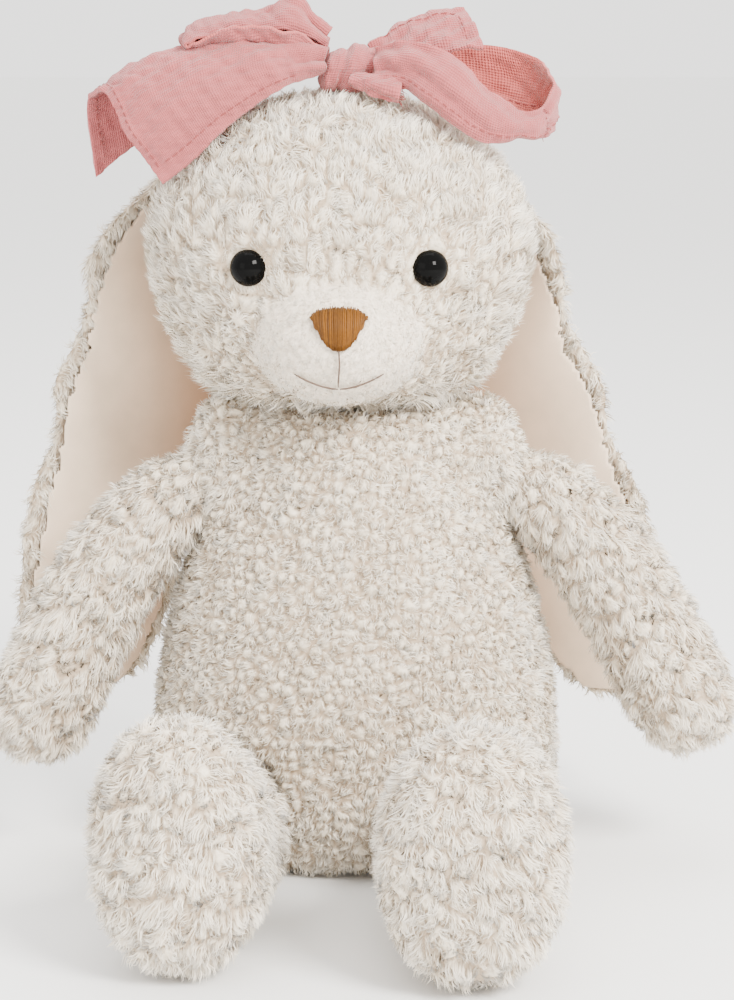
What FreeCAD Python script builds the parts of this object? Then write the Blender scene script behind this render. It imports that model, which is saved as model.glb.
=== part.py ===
"""Sitting plush bunny with long hanging ears and a tied fabric bow.

Millimetres. The bunny faces -Y and sits on Z = 0. The origin is the middle of its flat seat.
Its own left side is at +X. Each fur or cloth panel, each stuffing core and each trim piece
is a separate solid with a thin seam gap round it.
"""
import FreeCAD, Part
import math
import os

V = FreeCAD.Vector

# ---- driving dimensions ------------------------------------------------------------
SKIN = 5.0                # plush panel: backing cloth and its pile
SEAM = 0.1                # half of the gap along a seam
LOOSE = 0.4               # gap between a panel and the stuffing behind it
SOCKET = 0.7              # gap round a stuffed ball at a limb's root

TORSO_H = 155.0           # seat to the top of the shoulders
TORSO_DEPTH = 0.80        # depth over width of the torso
SEAT_R = 50.0             # radius of the flat seat, across
BASE_SEAM_Z = 8.0         # height of the seam round the base panel

HEAD_C = V(-5, 2, 209)    # centre of the head
HEAD_R = (66.0, 56.0, 53.0)    # half sizes of the head
GUSSET_HALF = 23.0        # half width of the strip over the top of the head
MUZZLE_C = V(-5, -37, 182)
MUZZLE_R = (28.5, 26.0, 22.0)

NECK = V(-3, 2, 155)
NECK_R = 15.0
SHOULDER = {"left": V(43, -5, 132.5), "right": V(-43, -5, 132.5)}
SHOULDER_R = 16.5
HIP = {"left": V(38, -45, 30), "right": V(-40, -45, 30)}
HIP_R = 15.0
TAIL = V(0, 53, 34)
TAIL_R = 17.0
TAIL_REACH = 20.5         # from the torso to the middle of the tail
TAIL_ROOT_R = 6.0

ARM_LEAN_OUT = {"left": 11.0, "right": 7.8}    # degrees beyond the pattern's own curve
ARM_FORWARD = 11.0                             # degrees that the arms hang forward
LEG_SPLAY = {"left": -1.5, "right": 8.0}       # degrees outward at rest
LEG_REACH = {"left": 1.10, "right": 1.0}       # share of the pattern's length, as it lies
FOOT_SPREAD = {"left": 1.06, "right": 1.0}     # the left foot is pressed a little broader
EYE_SPREAD = 31.2         # eye centre from the head's middle
EYE_Z = 206.0
EYE_R = 6.3               # dome radius of a 12 mm safety eye
EYE_SHANK_R = 2.0
WASHER_R = 6.0
WASHER_T = 1.2

NOSE_W = 18.0
NOSE_TOP = 195.0
NOSE_BOTTOM = 181.0
EAR_T = 3.0               # half thickness of an ear's plush side
LINING_T = 0.9            # half thickness of an ear's velour side
LINING_INSET = 9.0        # plush showing round the velour
BOW_T = 2.4               # doubled cotton gauze

SIDE = {"left": 1.0, "right": -1.0}


# ---- helpers -----------------------------------------------------------------------
def save(name, shape):
    solids = [s for s in shape.Solids if s.Volume > 0.5]
    body = solids[0] if len(solids) == 1 else Part.makeCompound(solids)
    body.exportStep("parts/%s.step" % name)
    print("%-24s solids %d volume %9.1f valid %s"
          % (name, len(solids), body.Volume, body.isValid()))


def box(x0, y0, z0, x1, y1, z1):
    return Part.makeBox(x1 - x0, y1 - y0, z1 - z0, V(x0, y0, z0))


def ellipsoid(centre, radii, grow=0.0):
    """A sphere stretched to three half-sizes, each larger by grow."""
    m = FreeCAD.Matrix()
    m.scale(radii[0] + grow, radii[1] + grow, radii[2] + grow)
    ball = Part.makeSphere(1.0).transformGeometry(m)
    ball.translate(centre)
    return ball


def ball(centre, radius):
    return Part.makeSphere(radius, centre)


def section(centre, across, up, half_a, half_b, power=2.0, count=16):
    """Closed smooth wire of a rounded section, spanned by two directions."""
    points = []
    for i in range(count):
        angle = 2 * math.pi * i / count
        c, s = math.cos(angle), math.sin(angle)
        a = math.copysign(abs(c) ** (2 / power), c) * half_a
        b = math.copysign(abs(s) ** (2 / power), s) * half_b
        points.append(centre + across * a + up * b)
    curve = Part.BSplineCurve()
    curve.interpolate(Points=points, PeriodicFlag=True)
    return Part.Wire([curve.toShape()])


def place(shape, turns, move):
    """Turn about the origin, in order, then move. turns: (axis, degrees)."""
    out = shape.copy()
    for axis, degrees in turns:
        out.rotate(V(0, 0, 0), axis, degrees)
    out.translate(move)
    return out


X, Y, Z = V(1, 0, 0), V(0, 1, 0), V(0, 0, 1)
BIG = 400.0


# ---- torso -------------------------------------------------------------------------
TORSO_PROFILE = [(SEAT_R, 0), (60, 4), (66, 16), (67.5, 36), (66.5, 55), (62, 80), (56, 102),
                 (50, 120), (45, 133), (38.5, 143), (28, 150.2), (13, 154), (0, TORSO_H)]
SEAT_TRIM = 0.4           # cut off the underside, which leaves it truly flat


def torso_form(inset):
    """Pear-shaped body of revolution, flattened front to back, moved inward by inset."""
    points = []
    last = len(TORSO_PROFILE) - 1
    for i, (r, z) in enumerate(TORSO_PROFILE):
        r0, z0 = TORSO_PROFILE[max(i - 1, 0)]
        r1, z1 = TORSO_PROFILE[min(i + 1, last)]
        if i == 0 or i == last:
            normal = (0, -1 if i == 0 else 1)
        else:
            length = math.hypot(r1 - r0, z1 - z0)
            normal = ((z1 - z0) / length, -(r1 - r0) / length)
        points.append(V(r - inset * normal[0], 0, z - inset * normal[1]))
    points[0].x -= inset
    curve = Part.BSplineCurve()
    curve.interpolate(Points=points)
    seat = Part.makeLine(V(0, 0, points[0].z), points[0])
    spine = Part.makeLine(points[-1], V(0, 0, points[0].z))
    face = Part.Face(Part.Wire([seat, curve.toShape(), spine]))
    m = FreeCAD.Matrix()
    m.scale(1, TORSO_DEPTH, 1)
    form = face.revolve(V(0, 0, 0), Z, 360).transformGeometry(m)
    if inset:
        return form
    form.translate(V(0, 0, -SEAT_TRIM))
    return form.cut(box(-BIG, -BIG, -BIG, BIG, BIG, 0))


def root_balls(gap):
    """Spherical room in the torso for the stuffed balls at the limb roots."""
    balls = [ball(NECK, NECK_R + gap), ball(TAIL, TAIL_ROOT_R + gap)]
    for side in SIDE:
        balls.append(ball(SHOULDER[side], SHOULDER_R + gap))
        balls.append(ball(HIP[side], HIP_R + gap))
    return balls


def make_torso():
    skin = torso_form(0).cut(torso_form(SKIN)).cut(root_balls(SOCKET))
    upper = BASE_SEAM_Z + SEAM
    panels = {
        "torso_base": box(-BIG, -BIG, -1, BIG, BIG, BASE_SEAM_Z - SEAM),
        "torso_front": box(-BIG, -BIG, upper, BIG, -SEAM, BIG),
        "torso_back_left": box(SEAM, SEAM, upper, BIG, BIG, BIG),
        "torso_back_right": box(-BIG, SEAM, upper, -SEAM, BIG, BIG),
    }
    for name, region in panels.items():
        save(name, skin.common(region))
    pouch_c, pouch_r = V(0, 8, 22), (34.0, 26.0, 12.0)
    save("bean_pouch", ellipsoid(pouch_c, pouch_r).cut(ellipsoid(pouch_c, pouch_r, -0.8)))
    save("bean_pellets", ellipsoid(pouch_c, pouch_r, -1.0))
    filling = torso_form(SKIN + LOOSE).cut(root_balls(SOCKET))
    save("torso_stuffing", filling.cut(ellipsoid(pouch_c, pouch_r, 0.2)))


def make_tail():
    centre = TAIL + Y * TAIL_REACH
    stem = Part.makeCylinder(TAIL_ROOT_R - 1.5, TAIL_REACH, TAIL, Y)
    root = ball(TAIL, TAIL_ROOT_R)
    outside = ball(centre, TAIL_R)
    save("tail_root", root.fuse(stem).cut(ball(centre, TAIL_R + SEAM)))
    save("tail_skin", outside.cut(ball(centre, TAIL_R - 4.0)))
    save("tail_stuffing", ball(centre, TAIL_R - 4.0 - LOOSE))


# ---- neck --------------------------------------------------------------------------
def make_neck():
    """Stuffed ball between head and torso, with the closing thread wound in its waist."""
    waist_r, waist_half = NECK_R - 1.9, 5.0
    belt = Part.makeCylinder(NECK_R + 2, 2 * waist_half, NECK - Z * waist_half)
    belt = belt.cut(Part.makeCylinder(waist_r, 2 * waist_half, NECK - Z * waist_half))
    save("neck_wad", ball(NECK, NECK_R).cut(belt))
    save("neck_thread", Part.makeTorus(waist_r + 1.0, 0.7, NECK))


# ---- head --------------------------------------------------------------------------
# height from the centre, half width, half depth, forward shift: full cheeks over a broad jaw
HEAD_STATIONS = [(-51.5, 24, 17, 2), (-50, 36, 26, 4), (-46, 45.5, 34, 5), (-40, 51, 40.5, 4.5),
                 (-32, 56.5, 46, 3), (-18, 62.5, 52.5, 1), (-4, 66, 56, 0), (10, 65, 55.5, 0),
                 (25, 58, 50, 0), (37, 47.5, 41, 0), (46, 34, 29, 0), (51, 19, 16, 0), (53, 7, 6, 0)]
# room for the neck, radius and height over its pivot, so that the head can nod
NECK_HOLLOW = [(0, 3), (17, 3.4), (24, 2.6), (40, -2.5), (60, -9), (60, -30), (0, -30)]


def head_form(inset):
    """Head's outside, or the same form smaller by inset all round."""
    wires = []
    for rise, half_w, half_d, forward in HEAD_STATIONS:
        centre = HEAD_C + V(0, -forward, rise)
        wires.append(section(centre, X, Y, half_w, half_d, 2.2))
    form = Part.makeLoft(wires, True, False)
    if not inset:
        return form
    form.translate(HEAD_C * -1)
    m = FreeCAD.Matrix()
    m.scale(*[(r - inset) / r for r in HEAD_R])
    form = form.transformGeometry(m)
    form.translate(HEAD_C)
    return form


def neck_room():
    """What the neck and the shoulders under it take out of the head."""
    points = [V(r, 0, z) for r, z in NECK_HOLLOW]
    hollow = Part.Face(Part.makePolygon(points + points[:1])).revolve(V(0, 0, 0), Z, 360)
    hollow.translate(NECK)
    return hollow.fuse(ball(NECK, NECK_R + SOCKET))


def eye_place(side):
    """Point on the head and outward direction for one eye."""
    x = SIDE[side] * EYE_SPREAD
    z = EYE_Z - HEAD_C.z
    y = -HEAD_R[1] * math.sqrt(1 - (x / HEAD_R[0]) ** 2 - (z / HEAD_R[2]) ** 2)
    normal = V(x / HEAD_R[0] ** 2, y / HEAD_R[1] ** 2, z / HEAD_R[2] ** 2)
    normal.normalize()
    return HEAD_C + V(x, y, z), normal


def rod(start, direction, low, high, radius):
    """Cylinder along direction, from low to high millimetres past start."""
    return Part.makeCylinder(radius, high - low, start + direction * low, direction)


def make_eyes():
    washers = []
    for side in SIDE:
        at, out = eye_place(side)
        dome = ball(at - out * 1.9, EYE_R).common(rod(at, out, -1.0, 8.0, 9.0))
        shank = rod(at, out, -11.0, -0.9, EYE_SHANK_R)
        save("eye_%s" % side, dome.fuse(shank))
        low = -SKIN - 1.0 - WASHER_T
        ring = rod(at, out, low, low + WASHER_T, WASHER_R)
        washers.append(ring.cut(rod(at, out, low - 1, low + WASHER_T + 1, EYE_SHANK_R + SEAM)))
    save("eye_washers", Part.makeCompound(washers))


def eye_room():
    """What the eyes and their washers take out of the head's skin and stuffing."""
    room = []
    for side in SIDE:
        at, out = eye_place(side)
        room.append(rod(at, out, -1.1, 9.0, EYE_R + 0.3))
        room.append(rod(at, out, -SKIN - 0.6, 0, EYE_SHANK_R + 0.2))
        room.append(rod(at, out, -SKIN - 8.0, -SKIN - 0.4, WASHER_R + 0.5))
    return room


def make_head():
    outside, inside, under = head_form(0), head_form(SKIN), neck_room()
    skin = outside.cut(inside).cut([under, ellipsoid(MUZZLE_C, MUZZLE_R, 0.2)] + eye_room())
    middle = HEAD_C.x
    strip = box(middle - GUSSET_HALF + SEAM, -BIG, 0, middle + GUSSET_HALF - SEAM, BIG, BIG)
    save("head_gusset", skin.common(strip))
    save("head_side_left", skin.common(box(middle + GUSSET_HALF + SEAM, -BIG, 0, BIG, BIG, BIG)))
    save("head_side_right", skin.common(box(-BIG, -BIG, 0, middle - GUSSET_HALF - SEAM, BIG, BIG)))
    muzzle = ellipsoid(MUZZLE_C, MUZZLE_R).cut(ellipsoid(MUZZLE_C, MUZZLE_R, -SKIN))
    save("muzzle_panel", muzzle.cut([inside, under]))
    bulge = ellipsoid(MUZZLE_C, MUZZLE_R, -SKIN - LOOSE)
    core = head_form(SKIN + LOOSE).fuse(bulge)
    save("head_stuffing", core.cut([under] + eye_room()))


def on_muzzle(face, height):
    """Thread laid on the muzzle: a flat outline at Y = 0, pushed onto its curved front."""
    face.translate(V(0, MUZZLE_C.y, 0))
    raised = face.extrude(V(0, -MUZZLE_R[1] - 9, 0))
    return raised.common(ellipsoid(MUZZLE_C, MUZZLE_R, height)).cut(
        ellipsoid(MUZZLE_C, MUZZLE_R, 0.15))


def arc_strip(start, middle, end, width):
    """Face between an arc and the same arc moved up by width."""
    lift = V(0, 0, width)
    low = Part.Arc(start, middle, end).toShape()
    high = Part.Arc(end + lift, middle + lift, start + lift).toShape()
    return Part.Face(Part.Wire([low, Part.makeLine(end, end + lift), high,
                                Part.makeLine(start + lift, start)]))


def make_nose_and_mouth():
    x, half = MUZZLE_C.x, NOSE_W / 2
    top, low = NOSE_TOP, NOSE_BOTTOM
    brow = Part.Arc(V(x - half, 0, top - 2), V(x, 0, top), V(x + half, 0, top - 2)).toShape()
    right = Part.Arc(V(x + half, 0, top - 2), V(x + 7.2, 0, top - 9), V(x, 0, low)).toShape()
    left = Part.Arc(V(x, 0, low), V(x - 7.2, 0, top - 9), V(x - half, 0, top - 2)).toShape()
    save("nose_embroidery", on_muzzle(Part.Face(Part.Wire([brow, right, left])), 1.8))
    lip = arc_strip(V(x - 13.5, 0, 173.3), V(x, 0, 168.6), V(x + 14, 0, 174), 1.1)
    drop = box(x - 0.6, -90, 169.2, x + 0.6, MUZZLE_C.y, low + 0.4)
    drop = drop.common(ellipsoid(MUZZLE_C, MUZZLE_R, 1.0)).cut(ellipsoid(MUZZLE_C, MUZZLE_R, 0.15))
    nose = on_muzzle(Part.Face(Part.Wire([brow, right, left])), 2.2)
    save("mouth_stitches", on_muzzle(lip, 1.0).fuse(drop).cut(nose))


# ---- ears --------------------------------------------------------------------------
# height, distance out, distance back, turn of the face from frontal, half width
EAR_STATIONS = [(243, 55, 22, 66, 10), (224, 64.5, 29, 58, 16), (196, 70, 35, 48, 22),
                (160, 73.5, 40, 32, 30), (125, 80, 41, 24, 32), (92, 87, 41, 21, 33),
                (64, 93, 42, 20, 29), (47, 96, 43, 20, 18), (41.5, 96.5, 43, 20, 8)]
EAR_MIDDLE = -5.0                              # the pair is centred under the head
# shift of each ear per millimetre of height: outward, back
EAR_LEAN = {"left": (-0.05, 0.06), "right": (0.065, 0.0)}
EAR_LEAN_LOW, EAR_LEAN_HIGH = 85.0, 243.0      # heights between which an ear leans
LINING_GAP = 1.0                               # between the two layers of an ear


def ear_lean(height):
    """Share of the lean at a height, in millimetres: it fades out again at the ear's root."""
    up = (height - EAR_LEAN_LOW) / (EAR_LEAN_HIGH - EAR_LEAN_LOW)
    return (height - EAR_LEAN_LOW) * (1 - up ** 6)


def flat_section(centre, across, face, half, half_thickness):
    """Closed wire of a thin strip's cross-section."""
    a, b = across * half, face * half_thickness
    return Part.makePolygon([centre - a - b, centre + a - b, centre + a + b, centre - a + b,
                             centre - a - b])


def ear_layer(side, half_thickness, inset, forward):
    """One cloth layer of an ear: rounded plush with no inset, flat velour with one."""
    sign = SIDE[side]
    wires = []
    for height, out, back, turn, half in EAR_STATIONS:
        if half - inset < 4:
            continue
        angle = math.radians(turn)
        across = V(sign * math.cos(angle), -math.sin(angle), 0)
        face = V(-sign * math.sin(angle), -math.cos(angle), 0)
        out += EAR_LEAN[side][0] * ear_lean(height)
        back += EAR_LEAN[side][1] * ear_lean(height)
        centre = V(EAR_MIDDLE + sign * out, back, height) + face * forward
        if inset:
            wires.append(flat_section(centre, across, face, half - inset, half_thickness))
        else:
            wires.append(section(centre, across, face, half, half_thickness, 2.6))
    return Part.makeLoft(wires, True, False)


def make_ears():
    for side in SIDE:
        save("ear_%s_plush" % side, ear_layer(side, EAR_T, 0, 0))
        lining = ear_layer(side, LINING_T, LINING_INSET, EAR_T + LINING_T + LINING_GAP)
        save("ear_%s_lining" % side, lining)


# ---- arms --------------------------------------------------------------------------
# along the pattern's curve, from the shoulder ball: out, down, radius
ARM_STATIONS = [(11, 4, 10.5), (17.5, 9.5, 15.0), (25, 19.5, 17.0), (34, 35, 18.5),
                (42.5, 55, 19.0), (49, 75, 19.5), (54, 92, 18.5), (57, 102, 14.0), (58, 106.5, 7.0)]


def arm_form(side, inset):
    sign = SIDE[side]
    wires = []
    last = len(ARM_STATIONS) - 1
    for i, (out, down, radius) in enumerate(ARM_STATIONS):
        o0, d0, _ = ARM_STATIONS[max(i - 1, 0)]
        o1, d1, _ = ARM_STATIONS[min(i + 1, last)]
        along = V(sign * (o1 - o0), 0, -(d1 - d0)).normalize()
        up = Y.cross(along)
        centre = V(sign * out, 0, -down)
        if not inset or (radius - inset > 3 and i < last):
            wires.append(section(centre, Y, up, radius - inset, radius - inset))
    return Part.makeLoft(wires, True, False)


def make_arms():
    for side in SIDE:
        turns = [(Y, -SIDE[side] * ARM_LEAN_OUT[side]), (X, -ARM_FORWARD)]
        room = ball(V(0, 0, 0), SHOULDER_R + SOCKET)
        skin = arm_form(side, 0).cut([arm_form(side, SKIN), room])
        front = skin.common(box(-BIG, -BIG, -BIG, BIG, -SEAM, BIG))
        back = skin.common(box(-BIG, SEAM, -BIG, BIG, BIG, BIG))
        save("arm_%s_front" % side, place(front, turns, SHOULDER[side]))
        save("arm_%s_back" % side, place(back, turns, SHOULDER[side]))
        core = arm_form(side, SKIN + LOOSE).cut(room)
        save("arm_%s_stuffing" % side, place(core, turns, SHOULDER[side]))
        save("shoulder_wad_%s" % side, ball(SHOULDER[side], SHOULDER_R))


# ---- legs --------------------------------------------------------------------------
# forward from the hip ball, middle height from it, half width, half height
LEG_STATIONS = [(8, 0, 9.5, 9.5), (14, -1, 15, 15), (22, -2, 20, 20), (38, -3.5, 23.5, 24),
                (56, -3, 24, 26.5), (72, 4, 25.5, 34), (86, 10, 27, 39.6), (98, 11, 26.5, 39.5),
                (106, 11, 22, 34), (111, 11, 13.5, 23), (113, 11, 5, 10)]
SOLE_AT = 97.0            # forward of the hip, where the sole panel is sewn in


def leg_form(side, inset):
    wires = []
    for forward, rise, half_w, half_h in LEG_STATIONS:
        if inset and (half_w - inset < 4 or forward > 110):
            continue
        wide = half_w * FOOT_SPREAD[side] - inset
        centre = V(0, -forward * LEG_REACH[side], rise)
        wires.append(section(centre, X, Z, wide, half_h - inset, 2.2))
    return Part.makeLoft(wires, True, False)


def make_legs():
    for side in SIDE:
        sign = SIDE[side]
        turns = [(Z, sign * LEG_SPLAY[side])]
        room = ball(V(0, 0, 0), HIP_R + SOCKET)
        skin = leg_form(side, 0).cut([leg_form(side, SKIN), room])
        sole_y = -SOLE_AT * LEG_REACH[side]
        behind = sole_y + SEAM
        outer = box(SEAM, behind, -BIG, BIG, BIG, BIG)
        inner = box(-BIG, behind, -BIG, -SEAM, BIG, BIG)
        if sign < 0:
            outer, inner = inner, outer
        sole = box(-BIG, -BIG, -BIG, BIG, sole_y - SEAM, BIG)
        save("leg_%s_outer" % side, place(skin.common(outer), turns, HIP[side]))
        save("leg_%s_inner" % side, place(skin.common(inner), turns, HIP[side]))
        save("foot_%s_sole" % side, place(skin.common(sole), turns, HIP[side]))
        core = leg_form(side, SKIN + LOOSE).cut(room)
        save("leg_%s_stuffing" % side, place(core, turns, HIP[side]))
        save("hip_wad_%s" % side, ball(HIP[side], HIP_R))


# ---- bow ---------------------------------------------------------------------------
KNOT = V(-2, -8, 269)
KNOT_R = (10.0, 9.0, 8.0)


def cloth_panel(a, b, c, d, thickness):
    """Sheet between edges a-b and d-c, thickened upward."""
    sheet = Part.makeRuledSurface(Part.makeLine(a, b), Part.makeLine(d, c))
    return sheet.extrude(V(0, 0, thickness))


def loop_band(centre, half_long, half_high, tilt, sweep):
    """Flattened ring of doubled cloth, swept along the strip's width."""
    along = V(math.cos(tilt), 0, math.sin(tilt))
    up = V(-math.sin(tilt), 0, math.cos(tilt))
    outer = section(centre, along, up, half_long, half_high)
    inner = section(centre, along, up, half_long - BOW_T, half_high - BOW_T)
    return Part.Face(outer).extrude(sweep).cut(Part.Face(inner).extrude(sweep))


def make_bow():
    knot = ellipsoid(KNOT, KNOT_R)
    head = head_form(-0.4)
    clear = [ellipsoid(KNOT, KNOT_R, 0.3), head]
    save("bow_knot", knot.cut(head))
    left_loop = loop_band(V(34, 9, 269), 27, 8.5, math.radians(-14), V(0, -31, -3))
    save("bow_loop_left", left_loop.cut(clear))
    left_end = cloth_panel(V(7, 6, 276.5), V(35, 8, 289), V(38, -20, 284), V(7, -14, 273), BOW_T)
    save("bow_tail_left", left_end.cut(clear + [left_loop]))
    short = cloth_panel(V(5, -18.5, 268), V(17, -24, 265), V(18, -28.5, 257), V(3, -22, 261), 2.0)
    save("bow_short_end", short.cut(clear + [left_loop]))
    right_loop = loop_band(V(-33, 7, 279.5), 21, 9.5, math.radians(-10), V(0, -25, 0))
    save("bow_loop_right", right_loop.cut(clear))
    right_end = cloth_panel(V(-10, 4, 267), V(-88, -2, 246), V(-76, -31, 229), V(-12, -19, 263.5),
                            BOW_T)
    save("bow_tail_right", right_end.cut(clear + [right_loop]))


os.makedirs("parts", exist_ok=True)
make_torso()
make_tail()
make_neck()
make_head()
make_eyes()
make_nose_and_mouth()
make_ears()
make_arms()
make_legs()
make_bow()
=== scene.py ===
"""Plush bunny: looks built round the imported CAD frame. Metres, Z up, the bunny faces -Y."""
import math

import bpy
import numpy as np
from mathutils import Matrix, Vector
from mathutils.bvhtree import BVHTree


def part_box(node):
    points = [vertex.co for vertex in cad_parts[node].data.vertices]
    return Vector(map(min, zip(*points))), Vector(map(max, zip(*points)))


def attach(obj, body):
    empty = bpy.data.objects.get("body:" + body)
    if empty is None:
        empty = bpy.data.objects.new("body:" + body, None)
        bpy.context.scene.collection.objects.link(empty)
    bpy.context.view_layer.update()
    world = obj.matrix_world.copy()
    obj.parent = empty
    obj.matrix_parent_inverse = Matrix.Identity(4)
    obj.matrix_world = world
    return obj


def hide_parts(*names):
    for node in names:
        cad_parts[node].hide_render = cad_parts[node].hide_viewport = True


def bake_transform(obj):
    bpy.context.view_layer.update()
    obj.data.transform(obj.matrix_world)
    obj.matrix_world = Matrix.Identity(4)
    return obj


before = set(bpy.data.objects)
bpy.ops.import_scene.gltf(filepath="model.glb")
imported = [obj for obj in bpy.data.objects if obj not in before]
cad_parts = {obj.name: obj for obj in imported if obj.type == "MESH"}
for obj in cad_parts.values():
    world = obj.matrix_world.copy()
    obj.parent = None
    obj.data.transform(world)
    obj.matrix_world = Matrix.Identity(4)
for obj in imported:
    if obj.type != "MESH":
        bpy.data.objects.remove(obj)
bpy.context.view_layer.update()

MM = 0.001
SIDES = ("left", "right")
SIGN = {"left": 1.0, "right": -1.0}

# ---- driving sizes, metres -----------------------------------------------------------
BACKING_DEPTH = 2.2 * MM     # backing cloth below the CAD surface, which is mid pile
PUFF_CAP = 1.2 * MM          # the furthest that stuffing pushes a skin out
RELAX_STEP = 0.5             # share of the way to its neighbours that one smoothing round moves a point
STUFFING_FRAMES = 14
GAUZE = 0.8 * MM             # half the thickness of the doubled cotton gauze
THREAD = 0.22 * MM           # radius of the bow's sewing thread
FRAY_THREAD = 0.13 * MM
THREAD_SIDES = 6
FLOOR_GAP = 0.2 * MM         # pile and cloth that rest on the floor lie flat on it
HEM = 4.5 * MM
STITCH = 2.1 * MM
STITCH_GAP = 0.9 * MM
RIBBON_STEPS = 130           # mesh rows along a ribbon
TURN = 6.2832
NOISE_TURN = 6.28            # the wave noise keeps this rounder turn, which sets its pattern
NOISE_SPAN = 2.2             # about the sum of its four waves


# ---- small maths ---------------------------------------------------------------------
def unit(v):
    return v / np.maximum(np.linalg.norm(v, axis=-1, keepdims=True), 1e-12)


def smooth(t):
    t = np.clip(t, 0, 1)
    return t * t * (3 - 2 * t)


def hash01(cells, salt):
    """Three repeatable numbers from 0 to 1 for each whole-number cell."""
    c = cells.astype(np.int64)
    out = []
    for k in range(3):
        h = c[:, 0] * 73856093 ^ c[:, 1] * 19349663 ^ c[:, 2] * 83492791 ^ (salt * 9973 + k * 7919)
        h = (h ^ (h >> 13)) * 1274126177 & 0x7FFFFFFF
        h = (h ^ (h >> 16)) * 2246822519 & 0x7FFFFFFF
        out.append((h % 100003) / 100003.0)
    return np.stack(out, 1)


def cells(points, size, salt):
    """Jittered-grid Voronoi: distances to the two nearest centres, the nearest one, its numbers."""
    base = np.floor(points / size)
    first = np.full(len(points), 1e9)
    second = np.full(len(points), 1e9)
    centre = np.zeros_like(points)
    number = np.zeros_like(points)
    for dx in (-1, 0, 1):
        for dy in (-1, 0, 1):
            for dz in (-1, 0, 1):
                cell = base + (dx, dy, dz)
                chance = hash01(cell, salt)
                at = (cell + 0.1 + 0.8 * chance) * size
                d = np.sqrt(np.sum((at - points) ** 2, 1))
                closer = d < first
                second = np.where(closer, first, np.minimum(second, d))
                first[closer] = d[closer]
                centre[closer] = at[closer]
                number[closer] = (chance[closer] * 37.31) % 1.0
    return first, second, centre, number


def waves(points, size, salt):
    """Smooth vector noise in -1..1, made of a few sine waves."""
    rng = np.random.default_rng(salt)
    out = np.zeros_like(points)
    for k in range(4):
        direction = unit(rng.normal(size=(3, 3)))
        phase = rng.uniform(0, NOISE_TURN, 3)
        out += np.sin(points @ direction.T * (NOISE_TURN / size * (0.7 + 0.45 * k)) + phase) / (1 + 0.5 * k)
    return out / NOISE_SPAN


# ---- mesh helpers --------------------------------------------------------------------
def mesh_object(name, verts, faces, material):
    """Object from arrays: faces is an (n, 3) or (n, 4) array of vertex numbers."""
    mesh = bpy.data.meshes.new(name)
    faces = np.asarray(faces)
    mesh.vertices.add(len(verts))
    mesh.vertices.foreach_set("co", np.asarray(verts, np.float32).ravel())
    mesh.loops.add(faces.size)
    mesh.loops.foreach_set("vertex_index", faces.astype(np.int32).ravel())
    mesh.polygons.add(len(faces))
    starts = np.arange(0, faces.size, faces.shape[1], dtype=np.int32)
    mesh.polygons.foreach_set("loop_start", starts)
    mesh.update(calc_edges=True)
    mesh.polygons.foreach_set("use_smooth", np.ones(len(faces), bool))
    mesh.materials.append(material)
    obj = bpy.data.objects.new(name, mesh)
    bpy.context.scene.collection.objects.link(obj)
    return obj


def read(items, name, width, kind=np.float32):
    """One property of a mesh's vertices, edges, corners or triangles, in rows of this width."""
    out = np.empty(len(items) * width, kind)
    items.foreach_get(name, out)
    return out.reshape(-1, width)


def arrays(mesh):
    """Points, vertex normals and triangles of a mesh, as arrays."""
    mesh.calc_loop_triangles()
    points, normals = (read(mesh.vertices, name, 3).astype(float) for name in ("co", "normal"))
    return points, normals, read(mesh.loop_triangles, "vertices", 3, np.int32)


def quads_of(mesh):
    return read(mesh.loops, "vertex_index", 1, np.int32).reshape(-1, 4)


def set_points(mesh, co):
    mesh.vertices.foreach_set("co", co.astype(np.float32).ravel())
    mesh.update()


def paint(mesh, colours):
    """Colour per vertex, read by the materials."""
    layer = mesh.color_attributes.new("Tint", "FLOAT_COLOR", "POINT")
    rgba = np.ones((len(colours), 4), np.float32)
    rgba[:, :3] = colours
    layer.data.foreach_set("color", rgba.ravel())


def applied(obj):
    """The object's mesh with its modifiers applied, in place."""
    dg = bpy.context.evaluated_depsgraph_get()
    mesh = bpy.data.meshes.new_from_object(obj.evaluated_get(dg))
    obj.modifiers.clear()
    obj.data = mesh
    return obj


def cad_mesh(name, nodes):
    """One new object holding copies of CAD nodes."""
    verts, faces, base = [], [], 0
    for n in nodes:
        co, _, tri = arrays(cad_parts[n].data)
        verts.append(co)
        faces.append(tri + base)
        base += len(co)
    return mesh_object(name, np.concatenate(verts), np.concatenate(faces), MAT["backing"])


def largest_shell(obj):
    """Keeps the outermost closed surface, so that nothing is left inside it."""
    mesh = obj.data
    edges = read(mesh.edges, "vertices", 2, np.int32)
    label = np.arange(len(mesh.vertices))
    while True:
        low = np.minimum(label[edges[:, 0]], label[edges[:, 1]])
        new = label.copy()
        np.minimum.at(new, edges[:, 0], low)
        np.minimum.at(new, edges[:, 1], low)
        new = new[new]
        if (new == label).all():
            break
        label = new
    names, counts = np.unique(label, return_counts=True)
    keep = label == names[counts.argmax()]
    if keep.all():
        return obj
    quads, number, co = quads_of(mesh), np.cumsum(keep) - 1, arrays(mesh)[0]
    name, material = obj.name, mesh.materials[0]
    bpy.data.objects.remove(obj)
    return mesh_object(name, co[keep], number[quads[keep[quads[:, 0]]]], material)


def remeshed(name, nodes, voxel):
    obj = cad_mesh(name, nodes)
    mod = obj.modifiers.new("voxels", "REMESH")
    mod.mode, mod.voxel_size, mod.use_smooth_shade = "VOXEL", voxel, True
    return largest_shell(applied(obj))


def relax(obj, rounds):
    mod = obj.modifiers.new("relax", "SMOOTH")
    mod.factor, mod.iterations = RELAX_STEP, rounds
    return applied(obj)


def subdivided(obj, levels=1):
    mod = obj.modifiers.new("finer", "SUBSURF")
    mod.levels = mod.render_levels = levels
    return applied(obj)


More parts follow.
